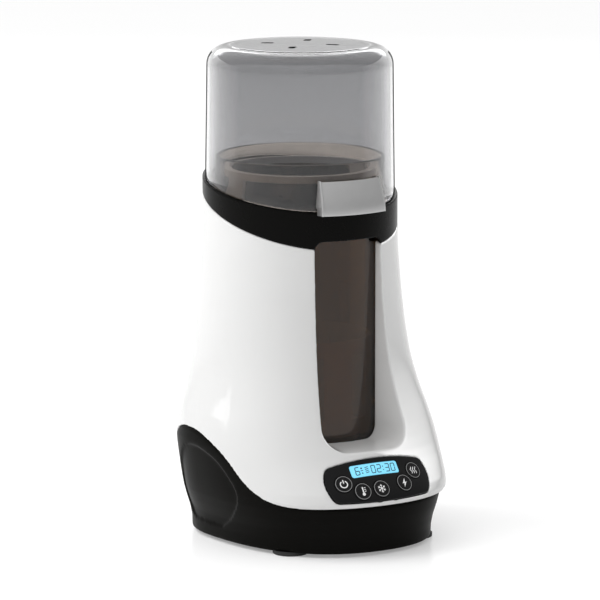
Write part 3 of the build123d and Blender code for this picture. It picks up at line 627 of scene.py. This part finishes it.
def rounded(sides, radius):
    """A closed outline from sides that meet at corners, each corner rounded off."""
    corners = []
    for k, side in enumerate(sides):
        corner = Vector(side[0])
        along = (Vector(side[1]) - corner).normalized()
        before = (Vector(sides[k - 1][-1]) - corner).normalized()
        half = along.angle(before) / 2
        reach = radius / tan(half)
        centre = corner + (along + before).normalized() * (radius / sin(half))
        corners.append((corner, reach, centre, corner + before * reach, corner + along * reach))
    outline = []
    for k, side in enumerate(sides):
        corner, reach, centre, start, end = corners[k]
        next_corner, next_reach = corners[(k + 1) % len(sides)][:2]
        first, last = (atan2(spot.y - centre.y, spot.x - centre.x) for spot in (start, end))
        sweep = (last - first + pi) % (2 * pi) - pi
        for i in range(13):
            angle = first + sweep * i / 12
            outline.append((centre.x + radius * cos(angle), centre.y + radius * sin(angle)))
        for point in side[1:]:
            clear = (Vector(point) - corner).length > reach + 0.1
            if clear and (Vector(point) - next_corner).length > next_reach + 0.1:
                outline.append(point)
    return outline


def circle(centre, radius, steps=64):
    """An anticlockwise circle."""
    angles = [2 * pi * i / steps for i in range(steps)]
    return [(centre[0] + radius * cos(a), centre[1] + radius * sin(a)) for a in angles]


def rectangle(centre, size, corner):
    """Rounded rectangle, anticlockwise."""
    (u, v), (w, h) = centre, (size[0] / 2, size[1] / 2)
    spots = [(u - w, v - h), (u + w, v - h), (u + w, v + h), (u - w, v + h)]
    sides = []
    for a, b in zip(spots, spots[1:] + spots[:1]):
        sides.append([(a[0] + (b[0] - a[0]) * i / 20, a[1] + (b[1] - a[1]) * i / 20) for i in range(20)])
    return rounded(sides, corner)


def grown(loop, offset):
    """The loop moved out of the material by offset: outlines run anticlockwise and holes clockwise."""
    result = []
    for i, (u, v) in enumerate(loop):
        (ua, va), (ub, vb) = loop[i - 1], loop[(i + 1) % len(loop)]
        along = Vector((ub - ua, vb - va)).normalized()
        result.append((u + along.y * offset, v - along.x * offset))
    return result


FLAT_BELOW, BENT_ABOVE = -7.0, -3.2  # heights between which a panel piece goes from flat to bent


def panel_piece(name, loops, rings, look, body, slot, *replaced):
    """A piece of the panel that follows its curved face, evening out to the panel's plane deep below it.

    Its outline and holes are swept through rings of (offset, height from the face) and closed at both ends.
    """
    made = bmesh.new()
    lows, tops = [], []
    for loop in loops:
        stack = []
        for offset, height in rings:
            stack.append([made.verts.new((u, v, height)) for u, v in grown(loop, offset)])
        for low, high in zip(stack, stack[1:]):
            for i in range(len(loop)):
                j = (i + 1) % len(loop)
                made.faces.new((low[i], low[j], high[j], high[i]))
        for ends, ring in ((lows, stack[0]), (tops, stack[-1])):
            ends += [made.edges.get((ring[i - 1], ring[i])) for i in range(len(ring))]
    for ends in (lows, tops):
        bmesh.ops.triangle_fill(made, edges=ends, use_beauty=True, use_dissolve=False)
    cuts = [((u + 0.013, 0, 0), (1, 0, 0)) for u in range(-34, 35, 2)]
    cuts += [((0, v + 0.017, 0), (0, 1, 0)) for v in range(-12, 13, 3)]
    for place, direction in cuts:
        whole = made.verts[:] + made.edges[:] + made.faces[:]
        bmesh.ops.bisect_plane(made, geom=whole, plane_co=place, plane_no=direction)
    for vert in made.verts:
        u, v, height = vert.co
        share = min(1, max(0, (height - FLAT_BELOW) / (BENT_ABOVE - FLAT_BELOW)))
        vert.co = on_panel(u, v, height + share * face_height(u, v))
    bmesh.ops.triangulate(made, faces=[f for f in made.faces if len(f.verts) > 4])
    bmesh.ops.recalc_face_normals(made, faces=made.faces)
    mesh = bpy.data.meshes.new(name)
    made.to_mesh(mesh)
    made.free()
    piece = show(name, mesh, look, body, slot, *replaced)
    mesh.set_sharp_from_angle(angle=radians(45))
    return piece


def softened(low, top, radius):
    """Rings of a wall from low to top with its top edge rounded."""
    angles = [pi / 2 * i / 5 for i in range(6)]
    turn = [(radius * (cos(a) - 1), top - radius * (1 - sin(a))) for a in angles]
    return [(0, low), *turn]


fascia_sides = [
    arc_through((-31.2, -10.8), (0, -14.3), (31.2, -10.8), 60),
    arc_through((31.2, -10.8), (34.8, 0.6), (32.0, 10.7), 24),
    arc_through((32.0, 10.7), (0, 12.7), (-32.0, 10.7), 60),
    arc_through((-32.0, 10.7), (-34.8, 0.6), (-31.2, -10.8), 24),
]
key_holes = [circle(centre, KEY_HOLE_R)[::-1] for centre in KEYS.values()]
lcd_hole = rectangle(LCD_CENTRE, (LCD_SIZE[0] + 0.2, LCD_SIZE[1] + 0.2), LCD_CORNER + 0.1)[::-1]
fascia_loops = [rounded(fascia_sides, 4.4), *key_holes, lcd_hole]
panel_piece(
    "panel_fascia", fascia_loops, softened(-3.0, 0, 0.35), fascia, "casing", "panel_gloss", "panel_overlay"
)
lcd_loop = [rectangle(LCD_CENTRE, LCD_SIZE, LCD_CORNER)]
display = panel_piece(
    "display_window", lcd_loop, softened(-2.1, -0.35, 0.15), lcd_blue, "casing", "lcd_glass", "lcd_glass"
)
caps = {}
for key, centre in KEYS.items():
    stem, flange = 1.6 - KEY_R, 0.5
    rings = [(stem, -8.0), (stem, -7.0), (flange, -7.0), (flange, -3.2), (0, -3.2)]
    rings += softened(-3.1, KEY_PROUD, 0.45)
    cap_name, body = key.replace("key", "cap"), key + "_part"
    caps[key] = panel_piece(cap_name, [circle(centre, KEY_R)], rings, key_gloss, body, "key_gloss", key)

# ---------------------------------------------------------------- panel graphics
INK = 0.06 * MM  # how far the print stands out


def printed(name, shapes, carrier, look, body, slot):
    """Thin flat shapes, given as outlines in panel millimetres, laid on the carrier's surface."""
    surface = BVHTree.FromObject(carrier, bpy.context.evaluated_depsgraph_get())
    made = bmesh.new()
    for outline in shapes:
        tops, lows = [], []
        for u, v in outline:
            hit = surface.ray_cast(on_panel(u, v, 20), -panel_n)[0]
            tops.append(made.verts.new(hit + panel_n * INK))
            lows.append(made.verts.new(hit - panel_n * INK))
        count = len(outline)
        made.faces.new(tops)
        made.faces.new(lows[::-1])
        for i in range(count):
            j = (i + 1) % count
            made.faces.new((tops[j], tops[i], lows[i], lows[j]))
    bmesh.ops.triangulate(made, faces=[f for f in made.faces if len(f.verts) > 4])
    bmesh.ops.recalc_face_normals(made, faces=made.faces)
    mesh = bpy.data.meshes.new(name)
    made.to_mesh(mesh)
    made.free()
    show(name, mesh, look, body, slot)
    mesh.shade_flat()


def bar(x0, y0, x1, y1, width):
    """A straight bar between two points."""
    length = max(1e-6, ((x1 - x0) ** 2 + (y1 - y0) ** 2) ** 0.5)
    dx, dy = -(y1 - y0) / length * width / 2, (x1 - x0) / length * width / 2
    return [(x0 + dx, y0 + dy), (x1 + dx, y1 + dy), (x1 - dx, y1 - dy), (x0 - dx, y0 - dy)]


def band_arc(cx, cy, radius, width, start, end, steps):
    """A curved bar as a chain of four-sided pieces."""
    pieces = []
    for i in range(steps):
        a, b = (radians(start + (end - start) * k / steps) for k in (i, i + 1))
        inner, outer = radius - width / 2, radius + width / 2
        ends = ((inner, a), (outer, a), (outer, b), (inner, b))
        pieces.append([(cx + r * cos(t), cy + r * sin(t)) for r, t in ends])
    return pieces


def power_icon(cx, cy):
    return band_arc(cx, cy - 0.2, 2.1, 0.6, 120, 420, 30) + [bar(cx, cy + 0.3, cx, cy + 2.6, 0.6)]


def thermometer_icon(cx, cy):
    shapes = [circle((cx, cy - 1.8), 0.95, 20), circle((cx, cy + 2.3), 0.37, 12)]
    shapes.append(bar(cx, cy - 1.6, cx, cy + 2.3, 0.75))
    return shapes + [bar(cx + 0.9, cy + h, cx + 1.9, cy + h, 0.35) for h in (-0.2, 0.9, 2.0)]


def snowflake_icon(cx, cy):
    shapes = []
    for k in range(6):
        a = radians(30 + 60 * k)
        tip = (cx + 2.6 * cos(a), cy + 2.6 * sin(a))
        shapes.append(bar(cx, cy, *tip, 0.4))
        fork = (cx + 1.5 * cos(a), cy + 1.5 * sin(a))
        for turn in (-50, 50):
            b = a + radians(turn)
            shapes.append(bar(*fork, fork[0] + 0.9 * cos(b), fork[1] + 0.9 * sin(b), 0.32))
    return shapes


def bolt_icon(cx, cy):
    upper = [(0.7, 2.8), (-1.5, -0.4), (-0.1, -0.4), (0.35, 0.5)]
    lower = [(-0.7, -2.8), (1.5, 0.4), (0.1, 0.4), (-0.35, -0.5)]
    return [[(cx + x, cy + y) for x, y in part] for part in (upper, lower)]


def waves_icon(cx, cy):
    shapes = []
    for shift in (-1.6, 0.0, 1.6):
        points = [(cx + shift + 0.45 * sin(radians(i * 30)), cy - 2.1 + 4.2 * i / 16) for i in range(17)]
        shapes += [bar(*a, *b, 0.45) for a, b in zip(points, points[1:])]
    return shapes


ICONS = {
    "key_power": power_icon,
    "key_room": thermometer_icon,
    "key_cold": snowflake_icon,
    "key_quick": bolt_icon,
    "key_steady": waves_icon,
}
for key, (u, v) in KEYS.items():
    label = key.replace("key_", "")
    cap, body = caps[key], key + "_part"
    ring = band_arc(u, v, 4.75, 0.3, 0, 360, 72)
    printed("ring_" + label, ring, cap, print_grey, body, "key_gloss")
    printed("icon_" + label, ICONS[key](u, v), cap, white_print_painted_glow, body, "key_gloss")

SEGMENTS = {
    "0": "abcdef",
    "2": "abged",
    "3": "abgcd",
    "6": "afgedc",
}
DIGIT_W, DIGIT_H, STROKE = 2.5, 4.7, 0.5


def digit(character, left, low):
    """One seven-segment digit, leaning a little."""
    right, middle, high = left + DIGIT_W, low + DIGIT_H / 2, low + DIGIT_H
    gap, lean = 0.12, 0.08
    ends = {
        "a": (left + gap, high, right - gap, high),
        "b": (right, high - gap, right, middle + gap),
        "c": (right, middle - gap, right, low + gap),
        "d": (left + gap, low, right - gap, low),
        "e": (left, middle - gap, left, low + gap),
        "f": (left, high - gap, left, middle + gap),
        "g": (left + gap, middle, right - gap, middle),
    }
    shapes = []
    for letter in SEGMENTS[character]:
        x0, y0, x1, y1 = ends[letter]
        shapes.append(bar(x0 + (y0 - low) * lean, y0, x1 + (y1 - low) * lean, y1, STROKE))
    return shapes


AMOUNT_U, BOTTLE_U, STEAM_U, COLON_U = -15.2, -10.8, -8.6, 3.6
CLOCK = (("0", -4.6), ("2", -0.7), ("3", 5.0), ("0", 8.9))


def display_shapes():
    """The amount, a small bottle, the steam lines and the time that the display shows."""
    middle = LCD_CENTRE[1]
    low = middle - DIGIT_H / 2
    shapes = digit("6", AMOUNT_U, low)
    shapes += [circle((BOTTLE_U, middle + 1.5), 0.55, 20), circle((BOTTLE_U, middle - 1.6), 0.45, 20)]
    shapes.append(bar(BOTTLE_U - 0.8, middle, BOTTLE_U + 0.8, middle, 0.4))
    for h in (-1.8, -0.7, 0.4, 1.5):
        shapes.append(bar(STEAM_U, middle + h, STEAM_U + 2.4, middle + h + 0.5, 0.4))
    for character, left in CLOCK:
        shapes += digit(character, left, low)
    shapes += [circle((COLON_U, middle + h), 0.35, 10) for h in (-1.1, 1.1)]
    return shapes


printed("display_digits", display_shapes(), display, lcd_dark, "casing", "lcd_module")


# ---------------------------------------------------------------- room, lights and camera
def plane(name, size, place, aim, look):
    """A flat rectangle of the room that faces aim."""
    mesh = bpy.data.meshes.new(name)
    w, h = size[0] / 2, size[1] / 2
    mesh.from_pydata([(-w, -h, 0), (w, -h, 0), (w, h, 0), (-w, h, 0)], [], [(0, 1, 2, 3)])
    mesh.materials.append(look)
    card = bpy.data.objects.new(name, mesh)
    scene.collection.objects.link(card)
    card.location = place
    if aim is not None:
        card.rotation_euler = (Vector(aim) - Vector(place)).to_track_quat("Z", "Y").to_euler()
    return card


def softbox(name, size, place, aim, power):
    """A rectangular area light."""
    data = bpy.data.lights.new(name, "AREA")
    data.shape = "RECTANGLE"
    data.size, data.size_y = size
    data.energy = power
    lamp = bpy.data.objects.new(name, data)
    scene.collection.objects.link(lamp)
    lamp.location = place
    lamp.rotation_euler = (Vector(aim) - Vector(place)).to_track_quat("-Z", "Y").to_euler()
    return lamp


FLOOR_LIFT, FLOOR_LIFT_CUT = 0.28, 0.16  # the floor's own glow, and how much less of it reflections show


def pale_floor():
    """A pale plain floor that glows a little, less in reflections and not at all as light on the object."""
    look = material("floor_white", (0.93, 0.93, 0.93), 0.2, Specular_IOR_Level=0.2)
    plane("floor", (30, 30), (0, 0, 0), None, look)
    tree = look.node_tree
    path = tree.nodes.new("ShaderNodeLightPath")
    lift = calculated(tree, "MULTIPLY_ADD", path.outputs["Is Diffuse Ray"], -FLOOR_LIFT, FLOOR_LIFT)
    lift = calculated(tree, "MULTIPLY_ADD", path.outputs["Is Glossy Ray"], -FLOOR_LIFT_CUT, lift)
    shader = tree.nodes["Principled BSDF"]
    shader.inputs["Emission Color"].default_value = (1, 1, 1, 1)
    tree.links.new(lift, shader.inputs["Emission Strength"])


pale_floor()
CENTRE = (0, AXIS_Y, 0.14)
AZIMUTH = radians(-31.8)  # the camera's turn from the front, to the left


def towards(turn, distance, height):
    """A place at a turn from the camera's side of the object, in degrees, left of it positive."""
    heading = AZIMUTH - radians(turn)
    return (sin(heading) * distance, AXIS_Y - cos(heading) * distance, height)


left_light = softbox("left_light", (1.2, 1.9), towards(84, 1.4, 1.5), CENTRE, 22)
left_light.visible_glossy = False
rear_light = softbox("rear_light", (2.6, 0.5), towards(180, 2.2, 1.15), (0, 0, 0.3), 9)
for lamp, piece in ((left_light, lid), (rear_light, shell)):
    spared = bpy.data.collections.new("spared_" + lamp.name)
    spared.objects.link(piece)
    spared.collection_objects[0].light_linking.link_state = "EXCLUDE"
    lamp.light_linking.receiver_collection = spared


def glow_card(name, size, place, power, faded, receiver):
    """A card that shows only in the receiver's reflections.

    The two numbers in faded say whether it fades from its middle along its width and its height.
    """
    look = bpy.data.materials.new(name)
    look.use_nodes = True
    tree = look.node_tree
    tree.nodes.remove(tree.nodes["Principled BSDF"])
    emission = tree.nodes.new("ShaderNodeEmission")
    clear = tree.nodes.new("ShaderNodeBsdfTransparent")
    both = tree.nodes.new("ShaderNodeAddShader")
    tree.links.new(emission.outputs["Emission"], both.inputs[0])
    tree.links.new(clear.outputs["BSDF"], both.inputs[1])
    tree.links.new(both.outputs["Shader"], tree.nodes["Material Output"].inputs["Surface"])
    coordinates = tree.nodes.new("ShaderNodeTexCoord")
    mapping = tree.nodes.new("ShaderNodeMapping")
    mapping.inputs["Scale"].default_value = (faded[0] * 2 / size[0], faded[1] * 2 / size[1], 0)
    fall = tree.nodes.new("ShaderNodeTexGradient")
    fall.gradient_type = "SPHERICAL"
    tree.links.new(coordinates.outputs["Object"], mapping.inputs["Vector"])
    tree.links.new(mapping.outputs["Vector"], fall.inputs["Vector"])
    strength = calculated(tree, "MULTIPLY", fall.outputs["Fac"], power)
    tree.links.new(strength, emission.inputs["Strength"])
    card = plane(name, size, place, (0, AXIS_Y, place[2]), look)
    card.visible_camera = card.visible_diffuse = card.visible_transmission = card.visible_shadow = False
    group = bpy.data.collections.new(name)
    group.objects.link(receiver)
    card.light_linking.receiver_collection = group


glow_card("left_card", (0.5, 3.0), towards(89, 1.5, 1.93), 1.7, (0, 0), shell)
glow_card("right_card", (2.3, 1.9), towards(-113, 1.5, 1.05), 7.0, (0, 1), shell)
glow_card("back_card", (2.6, 0.5), towards(180, 1.6, 0.5), 0.18, (0, 0), lid)
glow_card("left_edge_card", (2.0, 0.6), towards(128, 0.85, 0.32), 1.9, (1, 0), lid)
glow_card("right_edge_card", (2.0, 0.6), towards(-128, 0.85, 0.32), 1.9, (1, 0), lid)


SKY_LEVEL, BACKDROP = 0.52, 1.05  # mean brightness of the surroundings, and what the camera sees of them


def studio_sky(tree):
    """White surroundings, brightest overhead, behind the object and on the left."""
    place = tree.nodes.new("ShaderNodeTexCoord")
    left = (-cos(AZIMUTH), -sin(AZIMUTH), 0)
    behind = (-sin(AZIMUTH), cos(AZIMUTH), 0)
    total = SKY_LEVEL
    for direction, low, high in ((left, -0.18, 0.18), ((0, 0, 1), -0.35, 0.35), (behind, 0, 0.04)):
        spread = tree.nodes.new("ShaderNodeMapRange")
        spread.inputs["From Min"].default_value = -1
        spread.inputs["To Min"].default_value, spread.inputs["To Max"].default_value = low, high
        tree.links.new(projected(tree, place.outputs["Generated"], direction), spread.inputs["Value"])
        total = calculated(tree, "ADD", spread.outputs["Result"], total)
    path = tree.nodes.new("ShaderNodeLightPath")
    seen = tree.nodes.new("ShaderNodeMix")
    seen.inputs["B"].default_value = BACKDROP
    tree.links.new(path.outputs["Is Camera Ray"], seen.inputs["Factor"])
    tree.links.new(total, seen.inputs["A"])
    tree.links.new(seen.outputs["Result"], tree.nodes["Background"].inputs["Strength"])


world = bpy.data.worlds.new("studio")
scene.world = world
world.use_nodes = True
world.node_tree.nodes["Background"].inputs["Color"].default_value = (1, 1, 1, 1)
studio_sky(world.node_tree)
scene.view_settings.view_transform = "Standard"

DISTANCE, HEIGHT, AIM_Z, FOCAL = 2.708, 0.600, 0.1368, 278.3
camera_data = bpy.data.cameras.new("camera")
camera_data.lens = FOCAL
camera = bpy.data.objects.new("camera", camera_data)
scene.collection.objects.link(camera)
camera.location = (sin(AZIMUTH) * DISTANCE, AXIS_Y - cos(AZIMUTH) * DISTANCE, HEIGHT)
aim = Vector((0, AXIS_Y, AIM_Z))
camera.rotation_euler = (aim - camera.location).to_track_quat("-Z", "Y").to_euler()
camera_data.clip_end = 50
scene.camera = camera
